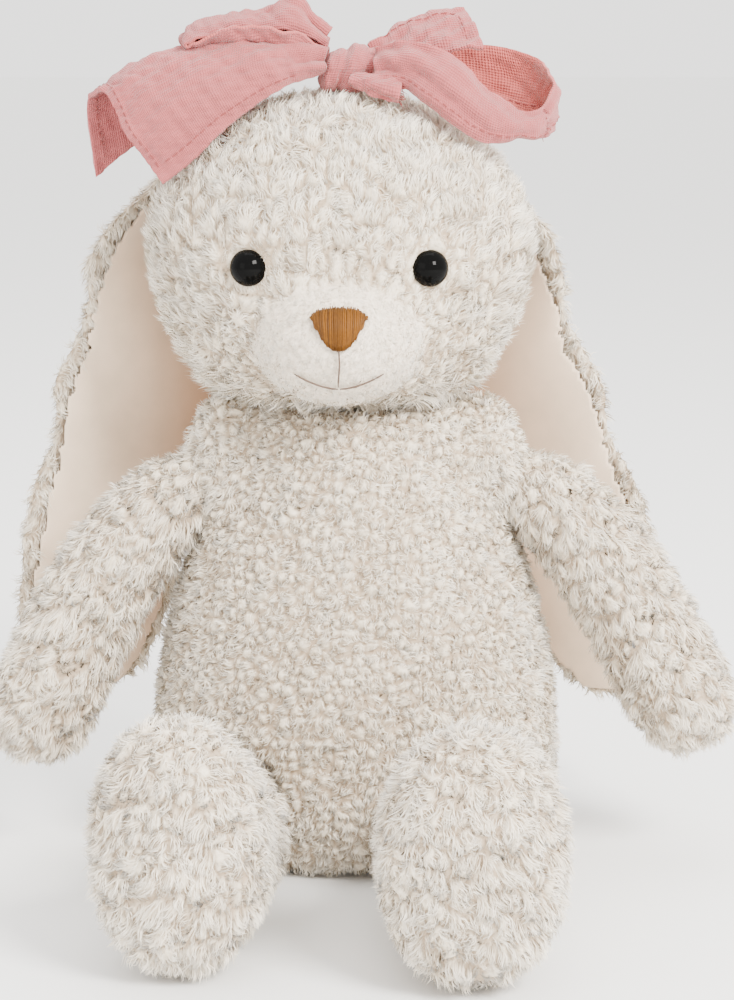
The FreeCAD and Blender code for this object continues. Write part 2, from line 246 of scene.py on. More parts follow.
def inflated(obj, pressure, cap):
    """Stuffs a closed skin: cloth under inside pressure, no point moving further than cap."""
    before = arrays(obj.data)[0]
    mod = obj.modifiers.new("stuffing", "CLOTH")
    s = mod.settings
    s.quality, s.mass = 4, 0.25
    s.use_pressure, s.uniform_pressure_force = True, pressure
    s.tension_stiffness = s.compression_stiffness = 18
    s.bending_stiffness = 3
    s.effector_weights.gravity = 0
    mod.point_cache.frame_start, mod.point_cache.frame_end = 1, STUFFING_FRAMES
    scene = bpy.context.scene
    for f in range(1, STUFFING_FRAMES + 1):
        scene.frame_set(f)
    obj = applied(obj)
    scene.frame_set(1)
    after = arrays(obj.data)[0]
    move = after - before
    length = np.linalg.norm(move, axis=1, keepdims=True)
    set_points(obj.data, before + move * np.minimum(1, cap / np.maximum(length, 1e-9)))
    return obj


def shrink(obj, depth):
    co, normal, _ = arrays(obj.data)
    set_points(obj.data, co - normal * depth)
    return obj


# ---- materials -----------------------------------------------------------------------
class Nodes:
    """Short hand for building one material."""

    def __init__(self, name, roughness, sheen=0.0, sheen_tint=(1, 1, 1)):
        self.mat = bpy.data.materials.new(name)
        self.mat.use_nodes = True
        self.tree = self.mat.node_tree
        self.bsdf = self.tree.nodes["Principled BSDF"]
        self.set("Roughness", roughness)
        self.set("Sheen Weight", sheen)
        self.set("Sheen Roughness", 0.5)
        self.set("Sheen Tint", (*sheen_tint, 1))

    def set(self, socket, value):
        self.bsdf.inputs[socket].default_value = value

    def add(self, kind, **values):
        node = self.tree.nodes.new(kind)
        for key, value in values.items():
            if key in node.inputs:
                node.inputs[key].default_value = value
            else:
                setattr(node, key, value)
        return node

    def link(self, out, to):
        self.tree.links.new(out, to)

    def noise(self, scale, detail=3.0):
        where = self.add("ShaderNodeTexCoord")
        node = self.add("ShaderNodeTexNoise", Scale=scale, Detail=detail)
        self.link(where.outputs["Object"], node.inputs["Vector"])
        return node.outputs["Fac"]

    def ramp(self, fac, stops):
        node = self.add("ShaderNodeValToRGB")
        ramp = node.color_ramp
        while len(ramp.elements) < len(stops):
            ramp.elements.new(0.5)
        for element, (at, colour) in zip(ramp.elements, stops):
            element.position, element.color = at, (*colour, 1)
        self.link(fac, node.inputs["Fac"])
        return node.outputs["Color"]

    def multiply(self, a, b):
        node = self.add("ShaderNodeMix", data_type="RGBA", blend_type="MULTIPLY")
        node.inputs[0].default_value = 1.0
        self.link(a, node.inputs[6])
        self.link(b, node.inputs[7])
        return node.outputs[2]

    def tint(self):
        return self.add("ShaderNodeAttribute", attribute_name="Tint").outputs["Color"]

    def bump(self, height, strength, distance):
        node = self.add("ShaderNodeBump", Strength=strength, Distance=distance)
        self.link(height, node.inputs["Height"])
        self.link(node.outputs["Normal"], self.bsdf.inputs["Normal"])

    def colour(self, out):
        self.link(out, self.bsdf.inputs["Base Color"])
        return self.mat


def tinted(name, roughness, sheen, scale, dark, light, level=0.5):
    """A material that reads the painted tint and varies it finely."""
    n = Nodes(name, roughness, sheen)
    n.set("Specular IOR Level", level)
    return n.colour(n.multiply(n.tint(), n.ramp(n.noise(scale), [(0.3, dark), (0.7, light)])))


def velour():
    n = Nodes("ear_velour", 0.85, 0.6, (1.0, 0.93, 0.86))
    vary = n.ramp(n.noise(90), [(0.3, (0.93, 0.92, 0.90)), (0.7, (1.04, 1.03, 1.02))])
    n.bump(n.noise(2600, 2), 0.25, 0.0002)
    return n.colour(n.multiply(n.tint(), vary))


WEAVE = {"Scale": 350.0, "Distortion": 1.4, "Detail": 2.0, "Detail Scale": 1.2}


def gauze():
    """Crinkled doubled cotton gauze: two crossing thread waves over soft crinkles."""
    n = Nodes("bow_gauze", 0.88, 0.35, (1.0, 0.85, 0.83))
    where = n.add("ShaderNodeUVMap", uv_map="cloth")
    heights = []
    for direction in ("X", "Y"):
        wave = n.add("ShaderNodeTexWave", wave_type="BANDS", bands_direction=direction)
        for name, value in WEAVE.items():
            wave.inputs[name].default_value = value
        n.link(where.outputs["UV"], wave.inputs["Vector"])
        heights.append(wave.outputs["Fac"])
    weave = n.add("ShaderNodeMath", operation="ADD")
    n.link(heights[0], weave.inputs[0])
    n.link(heights[1], weave.inputs[1])
    n.bump(weave.outputs[0], 0.6, 0.00045)
    slub = n.ramp(n.noise(260, 4), [(0.3, (0.90, 0.88, 0.88)), (0.7, (1.06, 1.05, 1.05))])
    thread = n.ramp(weave.outputs[0], [(0.2, (0.93, 0.90, 0.90)), (1.0, (1.03, 1.03, 1.03))])
    return n.colour(n.multiply(n.multiply(n.tint(), slub), thread))


def plain(name, colour, roughness, sheen=0.0, scale=300, change=0.06, level=0.5):
    """One colour with fine variation, for thread, plastic and hidden pieces."""
    n = Nodes(name, roughness, sheen)
    n.set("Specular IOR Level", level)
    dark = tuple(c * (1 - change) for c in colour)
    light = tuple(min(1, c * (1 + change)) for c in colour)
    n.bump(n.noise(scale * 3), 0.15, 0.0001)
    return n.colour(n.ramp(n.noise(scale), [(0.3, dark), (0.7, light)]))


MAT = {
    "fur": tinted("fur", 0.9, 0.35, 500, (0.95, 0.94, 0.92), (1.03, 1.03, 1.03)),
    "backing": tinted("fur_backing", 0.95, 0.2, 700, (0.85, 0.83, 0.80), (1.05, 1.05, 1.05)),
    "velour": velour(),
    "gauze": gauze(),
    "bow_thread": plain("bow_thread", (0.24, 0.04, 0.036), 0.7, 0.1, 900, 0.12),
    "nose": tinted("nose_thread", 0.5, 0.0, 1200, (0.80, 0.78, 0.76), (1.10, 1.10, 1.10), level=0.2),
    "mouth": plain("mouth_thread", (0.10, 0.055, 0.035), 0.6, 0.05, 900, 0.15),
    "seam": plain("seam_thread", (0.80, 0.75, 0.66), 0.7, 0.1, 900, 0.1),
    "eye": plain("eye_plastic", (0.002, 0.002, 0.002), 0.05, 0, 40, 0.05, level=0.05),
    "washer": plain("washer_plastic", (0.8, 0.8, 0.78), 0.5),
    "pouch": plain("pouch_cloth", (0.78, 0.77, 0.74), 0.9, 0.1, 1500, 0.1),
    "bean": plain("bean_plastic", (0.85, 0.84, 0.80), 0.4, 0, 250, 0.1),
}


# ---- fur -----------------------------------------------------------------------------
# partly the backing's own tone, partly painted shade between the locks
VALLEY_TAN_AND_SHADE = np.array((0.50, 0.385, 0.27))
CREAM = np.array((0.86, 0.76, 0.61))
IVORY = np.array((0.95, 0.885, 0.77))
FLEECE = np.array((0.90, 0.79, 0.67))
HEAD_X = (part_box("head_gusset")[0].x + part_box("head_gusset")[1].x) / 2


class Pile:
    """One kind of pile: the size and shape of its locks and of the fibres in them."""

    def __init__(self, lock=3.4, height=1.6, stretch=1.0, warp=0.9, fibre=4.0, width=0.38, lean=0.5,
                 density=1.3e6, sweep=0.5, clump=0.72, flow=(0, 0, -1), deep=1.0, salt=1):
        self.lock, self.height, self.stretch, self.warp = lock * MM, height * MM, stretch, warp * MM
        self.fibre, self.width, self.density, self.lean = fibre * MM, width * MM, density, lean
        # the third of these sets how far the valleys' painted shade reaches the fibres' feet
        self.sweep, self.clump, self.deep, self.salt = sweep, clump, deep, salt
        self.flow = unit(np.array(flow, float))

    def locks(self, points):
        """For each point: height in its lock, 0 to 1, the lock's numbers, the way to its middle."""
        p = points + waves(points, 0.011, self.salt + 40) * self.warp
        p = p - (p @ self.flow)[:, None] * self.flow * (1 - 1 / self.stretch)
        first, second, centre, number = cells(p, self.lock, self.salt)
        rise = np.clip((second - first) / (0.62 * self.lock), 0, 1)
        inward = centre - p
        inward = inward + (inward @ self.flow)[:, None] * self.flow * (self.stretch - 1)
        return smooth(rise) ** 0.65 * (0.72 + 0.28 * number[:, 0]), number, inward


def puffed(obj, pile, amount=None):
    """Raises the locks on a skin and paints it: ivory on top, tan in the valleys, partly the backing's own
    tone and partly painted shade.
    """
    co, normal, _ = arrays(obj.data)
    rise, number, _ = pile.locks(co)
    amount = np.ones(len(co)) if amount is None else amount
    set_points(obj.data, co + normal * (pile.height * rise * amount)[:, None])
    # painted shade: tan in the valleys between the locks, cream on their tops
    colour = VALLEY_TAN_AND_SHADE + (CREAM - VALLEY_TAN_AND_SHADE) * smooth(rise * 1.25)[:, None]
    paint(obj.data, np.clip(colour * (0.96 + 0.07 * number[:, :1]), 0, 1))
    return obj


def scatter(co, normal, tri, weight, density, rng):
    """Random roots on triangles, density per square metre, thinned by the weight there."""
    a, b, c = co[tri[:, 0]], co[tri[:, 1]], co[tri[:, 2]]
    area = np.linalg.norm(np.cross(b - a, c - a), axis=1) / 2
    share = area * weight[tri].mean(1)
    count = int(share.sum() * density)
    pick = np.searchsorted(np.cumsum(share) / share.sum(), rng.random(count))
    pick = np.minimum(pick, len(tri) - 1)
    u, v = rng.random(count), rng.random(count)
    flip = u + v > 1
    u[flip], v[flip] = 1 - u[flip], 1 - v[flip]
    bary = np.stack([1 - u - v, u, v], 1)
    corners = tri[pick]
    points = np.einsum("ij,ijk->ik", bary, co[corners])
    normals = unit(np.einsum("ij,ijk->ik", bary, normal[corners]))
    return points, normals, corners, bary


def strands(root, n, size, number, inward, pile, rng):
    """Five points and five lighting normals for each fibre: two at the foot, two midway, a tip."""
    inward = inward - n * np.sum(inward * n, 1, keepdims=True)
    way = (number - 0.5) * 2.0 + pile.flow * pile.sweep * 2 + 0.35 * waves(root, 0.02, pile.salt)
    way = way + rng.normal(0, 0.16, root.shape)
    way = unit(way - n * np.sum(way * n, 1, keepdims=True))
    turn = np.cross(n, way) * ((number[:, 1] > 0.5) * 2 - 1)[:, None]
    axis = unit(n * (0.7 + 0.3 * number[:, 2:]) + way * pile.lean)
    long = size * (0.62 + 0.38 * number[:, 1]) * rng.uniform(0.75, 1.1, len(root))
    long = (pile.fibre * long)[:, None]
    pull = inward * (pile.clump * size)[:, None]
    roll = rng.normal(0, 0.55, len(root))[:, None]
    side = unit(np.cross(axis, n))
    side = side * np.cos(roll) + np.cross(axis, side) * np.sin(roll)
    middle = root + axis * long * 0.52 + turn * long * 0.14 + pull * 0.35
    tip = root + axis * long * 0.88 + way * long * 0.16 - turn * long * 0.08 + pull
    half = side * (pile.width * 0.5 * rng.uniform(0.75, 1.2, len(root)))[:, None]
    points = np.stack([root - half, root + half, middle - half * 0.8, middle + half * 0.8, tip], 1)
    points[:, :, 2] = np.maximum(points[:, :, 2], FLOOR_GAP)
    facing = np.cross(side, axis)
    outward = -inward / pile.lock
    foot = unit(n * 0.75 + outward * 1.3 + facing * 0.2)
    crown = unit(n * 0.95 + outward * 0.6 + facing * 0.2 + way * 0.2)
    return points, np.stack([foot, foot, crown, crown, crown], 1)


def strand_colours(root, rise, number, pile, rng):
    """Tan at the foot between locks, partly the backing's tone and partly painted shade, cream below and
    ivory at the tips, a little uneven.
    """
    shade = (0.93 + 0.12 * number[:, :1]) * rng.uniform(0.95, 1.04, (len(root), 1))
    shade = shade * (1 + 0.05 * waves(root, 0.045, pile.salt + 5)[:, :1])
    # painted shade: fibres rooted low between the locks are painted tan at the foot
    low = VALLEY_TAN_AND_SHADE + (CREAM - VALLEY_TAN_AND_SHADE) * (1 - pile.deep * (1 - 0.9 * smooth(rise * 1.1)))[:, None]
    high = CREAM + (IVORY - CREAM) * smooth(0.35 + rise)[:, None]
    colours = np.stack([low, low, (low + high * 2) / 3, (low + high * 2) / 3, high], 1)
    return np.clip(colours * shade[:, None], 0, 1)


def fur(name, skin, pile, weight=None, short=None):
    """Fibres on a puffed skin: flat tapering ribbons that follow their lock and curl over."""
    rng = np.random.default_rng(pile.salt)
    co, normal, tri = arrays(skin.data)
    weight = np.ones(len(co)) if weight is None else weight
    short = np.ones(len(co)) if short is None else short
    root, n, corners, bary = scatter(co, normal, tri, weight, pile.density, rng)
    size = (short[corners] * bary).sum(1)
    rise, number, inward = pile.locks(root - n * pile.height * 0.6)
    points, lit = strands(root, n, size, number, inward, pile, rng)
    k = np.arange(len(root))[:, None] * 5
    faces = np.concatenate([k + f for f in ((0, 1, 3), (0, 3, 2), (2, 3, 4))], 1).reshape(-1, 3)
    obj = mesh_object(name, points.reshape(-1, 3), faces, MAT["fur"])
    paint(obj.data, strand_colours(root, rise, number, pile, rng).reshape(-1, 3))
    obj.data.normals_split_custom_set_from_vertices(lit.reshape(-1, 3).astype(np.float32))
    return obj


def plush_form(name, nodes, voxel, pressure, pile, extra=(), rounds=4, shape=None):
    """The sewn and stuffed skin of one body, made from its CAD panels, with its locks raised."""
    obj = inflated(relax(remeshed(name, [*nodes, *extra], voxel), rounds), pressure, PUFF_CAP)
    if shape:
        set_points(obj.data, shape(arrays(obj.data)[0]))
    obj = puffed(shrink(subdivided(obj, 2), BACKING_DEPTH), pile)
    co = arrays(obj.data)[0]
    co[:, 2] = np.maximum(co[:, 2], FLOOR_GAP)
    set_points(obj.data, co)
    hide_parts(*nodes)
    return obj


# Locks and fibres in millimetres.
BELLY = dict(lock=3.6, height=2.1, stretch=1.0, warp=0.9, fibre=3.4, sweep=0.25, lean=0.45)
LIMB = dict(lock=3.8, height=2.1, stretch=2.3, warp=2.4, fibre=4.3, sweep=0.9, lean=0.8, clump=0.8)
NAP = dict(lock=2.4, height=0, warp=1.0, fibre=1.3, width=0.26, density=4.5e6, sweep=0.3, lean=0.9,
           clump=0.12, deep=0.12, salt=7)
HEAD = dict(lock=4.0, height=1.8, stretch=1.9, warp=2.2, fibre=5.2, sweep=0.55, lean=1.0, clump=0.62)


NECK_RISE = 5.5 * MM         # the pile round the neck stands up against the head
SHOULDER_RISE = 7.0 * MM     # and this much more over the shoulders
NECK_BAND = (0.128, 0.150)   # where that rise begins and is full, heights
SIDE_FILL = 3.6 * MM         # how far the belly's sides swell towards the arms
SIDE_TOP = 148 * MM


def make_torso():
    nodes = ["torso_front", "torso_back_left", "torso_back_right", "torso_base", "torso_stuffing"]
    pile = Pile(**BELLY)
    skin = plush_form("torso_skin", nodes, 3.4 * MM, 2.0, pile,
                      extra=["shoulder_wad_left", "shoulder_wad_right"], rounds=9, shape=torso_eased)
    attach(skin, "torso")
    co = arrays(skin.data)[0]
    for part, sign in (("front", -1), ("back", 1)):
        weight = (co[:, 1] * sign > 0).astype(float)
        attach(fur("torso_fur_" + part, skin, pile, weight), "torso")


def torso_eased(co):
    """Raised at the neck against the head, and filled out at the sides between the arms."""
    up = smooth((co[:, 2] - NECK_BAND[0]) / (NECK_BAND[1] - NECK_BAND[0]))
    beside = smooth((np.abs(co[:, 0]) - 12 * MM) / (22 * MM))
    co = co + np.outer(up * (NECK_RISE + SHOULDER_RISE * beside), (0, 0, 1))
    low = smooth((SIDE_TOP - co[:, 2]) / (46 * MM)) * (0.6 + 0.4 * smooth(co[:, 2] / (40 * MM)))
    return co + np.outer(SIDE_FILL * low * np.clip(co[:, 0] / (46 * MM), -1, 1), (1, 0, 0))


def make_tail():
    pile = Pile(**{**HEAD, "flow": (0, 0.6, -1)})
    skin = plush_form("tail_form", ["tail_skin", "tail_stuffing", "tail_root"], 2.6 * MM, 1.0, pile)
    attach(skin, "tail")
    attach(fur("tail_fur", skin, pile), "tail")


def eye_centres():
    out = []
    for side in SIDES:
        low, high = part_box("eye_" + side)
        out.append(np.array(((low.x + high.x) / 2, low.y, (low.z + high.z) / 2)))
    return out


def near_node(points, name, reach):
    """Which points lie within reach of a CAD node's surface."""
    co, _, tri = arrays(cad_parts[name].data)
    tree = BVHTree.FromPolygons([Vector(p) for p in co], tri.tolist())
    return np.array([tree.find_nearest(Vector(p), reach)[0] is not None for p in points])


MUZZLE_DEPTH = 0.4 * MM      # the sheared fleece lies this far below the CAD surface
FACE_Y = -30 * MM            # the muzzle's panel is in front of this
JAW_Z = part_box("head_gusset")[0].z + 16 * MM


def muzzle_rim(points):
    """How far out from the muzzle's middle a point is, 1 at the edge of its panel."""
    low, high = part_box("muzzle_panel")
    x = (points[:, 0] - (low.x + high.x) / 2) / ((high.x - low.x) / 2)
    z = (points[:, 2] - (low.z + high.z) / 2) / ((high.z - low.z) / 2)
    return np.where(points[:, 1] < FACE_Y, np.sqrt(x * x + z * z), 9.0)


def make_head():
    nodes = ["head_gusset", "head_side_left", "head_side_right", "muzzle_panel", "head_stuffing"]
    pile = Pile(**{**HEAD, "flow": (0, 0.2, 1)})
    skin = subdivided(inflated(relax(remeshed("head_skin", nodes, 3.4 * MM), 4), 2.0, 1.0 * MM), 2)
    co = arrays(skin.data)[0]
    rim = muzzle_rim(co)
    furry = smooth((rim - 0.93) / 0.14)
    shrink(skin, (MUZZLE_DEPTH + (BACKING_DEPTH - MUZZLE_DEPTH) * furry)[:, None])
    eye_gap = np.min([np.linalg.norm(co - e, axis=1) for e in eye_centres()], 0)
    puffed(skin, pile, furry * np.clip((eye_gap - 6 * MM) / (6 * MM), 0.2, 1.0))
    tint = skin.data.color_attributes["Tint"]
    rgba = read(tint.data, "color", 4)
    rgba[:, :3] += (FLEECE - rgba[:, :3]) * (1 - furry)[:, None]
    tint.data.foreach_set("color", rgba.ravel())
    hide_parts(*nodes)
    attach(skin, "head")
    short = np.clip(0.45 + (rim - 1.0) * 1.2, 0.45, 1.0)
    short = np.minimum(short, np.clip((eye_gap - 5 * MM) / (10 * MM), 0.35, 1.0))
    short = short * (1 + 0.35 * smooth((JAW_Z - co[:, 2]) / (12 * MM)))
    clear = (eye_gap > 6.3 * MM) * (rim > 0.97) * 1.0
    for part, half in (("left", co[:, 0] > HEAD_X), ("right", co[:, 0] <= HEAD_X)):
        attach(fur("head_fur_" + part, skin, pile, clear * half, short), "head")
    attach(fur("muzzle_nap", skin, Pile(**NAP), (rim < 0.985) * 1.0), "head")
    return skin


def bend_ear(piece):
    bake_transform(piece)


def make_limbs():
    for i, side in enumerate(SIDES):
        arm, shoulder = "arm_" + side, "shoulder_" + side
        nodes = [arm + "_front", arm + "_back", arm + "_stuffing", "shoulder_wad_" + side]
        down = (0.5 * SIGN[side], -0.1, -1)
        pile = Pile(**{**LIMB, "flow": down, "salt": 2 + i})
        skin = plush_form(arm + "_skin", nodes, 3.2 * MM, 1.5, pile)
        for piece in (skin, fur(arm + "_fur", skin, pile)):
            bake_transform(piece)
        leg, hip = "leg_" + side, "hip_" + side
        nodes = [leg + "_outer", leg + "_inner", "foot_" + side + "_sole", leg + "_stuffing",
                 "hip_wad_" + side]
        pile = Pile(**{**LIMB, "flow": (0.25 * SIGN[side], 0.3, -1), "salt": 5 + i, "sweep": 0.6})
        skin = plush_form(leg + "_skin", nodes, 3.4 * MM, 1.5, pile)
        for piece in (skin, fur(leg + "_fur", skin, pile)):
            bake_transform(piece)
    pile = Pile(**{**BELLY, "salt": 9})
    ball = plush_form("neck_form", ["neck_wad"], 2.8 * MM, 1.0, pile)
    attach(ball, "neck_plug")
    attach(fur("neck_fur", ball, pile), "neck_plug")


VELOUR_CREAM = np.array((0.85, 0.67, 0.50))
# painted shade on the velour beside the head and jaw
VELOUR_SHADE = np.array((0.42, 0.22, 0.115))
EAR_FULL = 11.0 * MM         # how much further in the cloth spreads behind the jaw
EAR_FULL_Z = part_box("head_gusset")[0].z
ROOT_REACH = 6.5 * MM        # how far the ear's root reaches in to its seam on the head
EAR_ROOT = (0.206, 0.236)    # heights where that reach begins and is full


def spread_in(co, side):
    """The ear's cloth spread towards the body at the height of the jaw, outer edge unmoved."""
    out = co[:, 0] * SIGN[side]
    heights = np.linspace(co[:, 2].min(), co[:, 2].max(), 26)
    step = heights[1] - heights[0]
    near, far = [], []
    for z in heights:
        here = out[np.abs(co[:, 2] - z) < step]
        near.append(here.min())
        far.append(here.max())
    low, high = np.interp(co[:, 2], heights, near), np.interp(co[:, 2], heights, far)
    share = np.clip((high - out) / (high - low), 0, 1)
    amount = EAR_FULL * share * np.exp(-((co[:, 2] - EAR_FULL_Z) / (34 * MM)) ** 2)
    co = co - np.outer(amount * SIGN[side], (1, 0, 0))
    sewn_on = smooth((co[:, 2] - EAR_ROOT[0]) / (EAR_ROOT[1] - EAR_ROOT[0]))
    return co - np.outer(sewn_on, ROOT_REACH * np.array((SIGN[side], 0.42, 0.15)))


def make_ears():
    for i, side in enumerate(SIDES):
        body = "ear_" + side
        skin = relax(remeshed(body + "_plush_form", [body + "_plush"], 2.2 * MM), 3)
        on_lining = near_node(arrays(skin.data)[0], body + "_lining", 2.4 * MM)
        skin = relax(skin, 18)
        set_points(skin.data, spread_in(arrays(skin.data)[0], side))
        group = skin.vertex_groups.new(name="velour")
        group.add(np.flatnonzero(on_lining).tolist(), 1.0, "REPLACE")
        skin = subdivided(skin)
        co, normal, _ = arrays(skin.data)
        on_lining = np.array([any(g.weight > 0.6 for g in v.groups) for v in skin.data.vertices])
        lining(side, co, normal, skin, on_lining)
        furred = (~on_lining).astype(float)
        pile = Pile(**{**HEAD, "flow": (0, 0, -1), "salt": 11 + i, "fibre": 5.0, "lock": 3.1, "height": 1.3,
                        "clump": 0.4})
        shrink(skin, (1.2 * MM + 0.8 * MM * (1 - furred))[:, None])
        puffed(skin, pile, furred)
        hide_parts(body + "_plush")
        for piece in (skin, fur(body + "_fur", skin, pile, furred)):
            bend_ear(piece)


def lining(side, co, normal, skin, mask):
    """Velour side of the ear: the covered part of the front, as its own thin sheet."""
    body = "ear_" + side
    quads = quads_of(skin.data)
    quads = quads[mask[quads].all(1)]
    used = np.unique(quads)
    number = np.zeros(len(co), int)
    number[used] = np.arange(len(used))
    soft = waves(co[used], 0.045, 8)[:, 0]
    raised = co[used] + normal[used] * (0.7 * MM + 0.9 * MM * soft)[:, None]
    sheet = mesh_object(body + "_velour", raised, number[quads], MAT["velour"])
    mod = sheet.modifiers.new("cloth", "SOLIDIFY")
    mod.thickness, mod.offset = 1.0 * MM, 0.0
    sheet = applied(sheet)
    points = arrays(sheet.data)[0]
    low, high = points[:, 2].min(), points[:, 2].max()
    up = (points[:, 2] - low) / (high - low)
    out = points[:, 0] * SIGN[side]
    inner = np.clip((out.max() - out) / (out.max() - out.min()), 0, 1)
    # painted shade: the velour turns tan towards the head and lower down, where the jaw shades it
    shade_share = smooth(0.15 * (1 - up) + 1.2 * inner - 0.42)[:, None]
    paint(sheet.data, VELOUR_CREAM * (1 - shade_share) + VELOUR_SHADE * shade_share)
    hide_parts(body + "_lining")
    bend_ear(sheet)


# ---- face ----------------------------------------------------------------------------
def thread_tubes(name, paths, radius, material, tint=None):
    """Round threads along lists of points, joined in one mesh with closed ends."""
    verts, faces, colours = [], [], []
    for k, path in enumerate(paths):
        path = np.asarray(path, float)
        tangent = unit(np.gradient(path, axis=0))
        up = np.where(np.abs(tangent[:, :1]) < 0.9, [[1.0, 0, 0]], [[0, 0, 1.0]])
        a = unit(np.cross(tangent, up))
        b = np.cross(tangent, a)
        base = sum(len(v) for v in verts)
        count = len(path)
        taper = np.ones(count)
        taper[[0, -1]] = 0.55
        ring = []
        for j in range(THREAD_SIDES):
            angle = TURN * j / THREAD_SIDES
            ring.append(path + (a * math.cos(angle) + b * math.sin(angle)) * (radius * taper)[:, None])
        verts.append(np.stack(ring, 1).reshape(-1, 3))
        for i in range(count - 1):
            for j in range(THREAD_SIDES):
                p, q = base + i * THREAD_SIDES + j, base + i * THREAD_SIDES + (j + 1) % THREAD_SIDES
                faces.append((p, q, q + THREAD_SIDES, p + THREAD_SIDES))
        for i, order in ((0, -1), (count - 1, 1)):
            cap = [base + i * THREAD_SIDES + j for j in range(THREAD_SIDES)][::order]
            faces.append((cap[0], cap[1], cap[2], cap[3]))
            faces.append((cap[0], cap[3], cap[4], cap[5]))
        if tint is not None:
            colours.append(np.tile(tint[k], (count * THREAD_SIDES, 1)))
    obj = mesh_object(name, np.concatenate(verts), np.array(faces), material)
    if tint is not None:
        paint(obj.data, np.concatenate(colours))
    return obj


NOSE_LOW, NOSE_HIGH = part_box("nose_embroidery")
NOSE_X, NOSE_HALF = (NOSE_LOW.x + NOSE_HIGH.x) / 2, (NOSE_HIGH.x - NOSE_LOW.x) / 2
NOSE_CURVE = 0.68            # how far up the nose's sides end, as a share of its height
NOSE_LAYERS, NOSE_THREADS = 2, 30
NOSE_BULGE = 2.9             # how far the stitches stand proud of the muzzle, millimetres
NOSE_BROWN = np.array((0.150, 0.054, 0.003))
PAD_BROWN = np.array((0.17, 0.07, 0.013))


def front_of(tree, x, z, lift):
    """Point on the head's front at x, z, raised along the surface by lift."""
    hit, normal, _, _ = tree.ray_cast(Vector((x, -0.2, z)), Vector((0, 1, 0)))
    return np.array(hit + normal * lift)


def nose_top(t):
    """Height of the nose's upper edge at t across it, -1 to 1."""
    return NOSE_HIGH.z - NOSE_HALF * (0.12 * t * t + 0.22 * t ** 6)


def nose_end(t):
    return NOSE_LOW.z + (NOSE_HIGH.z - NOSE_LOW.z) * NOSE_CURVE * abs(t) ** 2.2


def nose_line(tree, t, top, end, lift):
    """Points down the nose at t across it; lift gives their height above the muzzle in millimetres."""
    return [front_of(tree, NOSE_X + NOSE_HALF * t * (1 - 0.12 * s ** 1.6), top + (end - top) * s,
                     lift(s) * MM) for s in np.linspace(0, 1, 7)]


def nose_stitches(tree):
    rng = np.random.default_rng(3)
    paths, tints = [], []
    for layer in range(NOSE_LAYERS):
        for i in range(NOSE_THREADS):
            t = (i + 0.5 * layer + rng.normal(0, 0.12)) / (NOSE_THREADS - 1) * 2 - 1
            t = max(-0.99, min(0.99, t))
            top = nose_top(t) - rng.uniform(0, 0.9) * MM - 0.6 * MM
            end = nose_end(t) + rng.uniform(0, 0.3) * MM
            round_off = math.sqrt(1 - (0.93 * t) ** 2)
            paths.append(nose_line(tree, t, top, end, lambda s: 0.2 + NOSE_BULGE * (
                math.sin(math.pi * (0.12 + 0.76 * s)) * round_off) + 0.2 * layer))
            tints.append(NOSE_BROWN * rng.uniform(0.42, 1.1))
    return thread_tubes("nose_stitches", paths, 0.34 * MM, MAT["nose"], tints)


def mouth_paths(tree):
    """A short drop under the nose and a curve to each side."""
    low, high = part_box("mouth_stitches")
    fall = NOSE_LOW.z - low.z - 1.4 * MM
    paths = [[front_of(tree, NOSE_X + 0.2 * MM * math.sin(5 * s), NOSE_LOW.z - s * fall, 1.5 * MM)
              for s in np.linspace(-0.1, 1, 7)]]
    width = (high.x - low.x) / 2
    for sign in (-1, 1):
        paths.append([front_of(tree, NOSE_X + sign * width * (0.02 + 0.98 * s),
                               low.z + 0.6 * MM + 4.6 * MM * s ** 1.7, 1.3 * MM)
                      for s in np.linspace(0, 1, 9)])
    return paths


def make_face(skin):
    co, _, tri = arrays(skin.data)
    tree = BVHTree.FromPolygons([Vector(p) for p in co], tri.tolist())
    nose = nose_stitches(tree)
    pads = [nose_line(tree, t, nose_top(t) - 1.0 * MM, nose_end(t), lambda s: 0.6)
            for t in np.linspace(-0.85, 0.85, 9)]
    pad = thread_tubes("nose_padding", pads, 1.0 * MM, MAT["nose"], [PAD_BROWN] * len(pads))
    for piece in (nose, pad):
        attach(piece, "head")
    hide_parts("nose_embroidery")
    stitches = thread_tubes("mouth_line", mouth_paths(tree), 0.33 * MM, MAT["mouth"])
    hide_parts("mouth_stitches")
    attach(stitches, "head")


# The eye turned about its shank: radius and height over the rim, millimetres.
EYE_PROFILE = [(0.0, 4.6), (1.2, 4.5), (2.4, 4.1), (3.6, 3.4), (4.7, 2.5), (5.5, 1.5), (6.0, 0.5),
               (6.1, -0.3), (5.8, -0.9), (2.2, -1.0), (2.0, -1.3), (2.0, -10.5), (0.0, -10.9)]
EYE_SEGMENTS = 48
EYE_HEIGHT = 4.4 * MM        # the CAD dome's top over its rim


def make_eyes():
    """Turned domes with a rolled rim, on their shanks."""
    for side in SIDES:
        low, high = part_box("eye_" + side)
        co = arrays(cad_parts["eye_" + side].data)[0]
        inner = co[co[:, 1] > high.y - 1.5 * MM].mean(0)
        outer = co[co[:, 1] < low.y + 0.4 * MM].mean(0)
        out = unit(outer - inner)
        across = unit(np.cross(out, (0, 0, 1.0)))
        up = np.cross(across, out)
        base = outer - out * EYE_HEIGHT
        verts, faces = [], []
        for r, h in EYE_PROFILE:
            for k in range(EYE_SEGMENTS):
                angle = TURN * k / EYE_SEGMENTS
                around = across * math.cos(angle) + up * math.sin(angle)
                verts.append(base + around * r * MM + out * h * MM)
        for i in range(len(EYE_PROFILE) - 1):
            for k in range(EYE_SEGMENTS):
                a, b = i * EYE_SEGMENTS + k, i * EYE_SEGMENTS + (k + 1) % EYE_SEGMENTS
                faces.append((a, b, b + EYE_SEGMENTS, a + EYE_SEGMENTS))
        eye = mesh_object("eye_%s_dome" % side, np.array(verts), np.array(faces), MAT["eye"])
        eye = subdivided(eye)
        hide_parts("eye_" + side)
        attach(eye, "head")


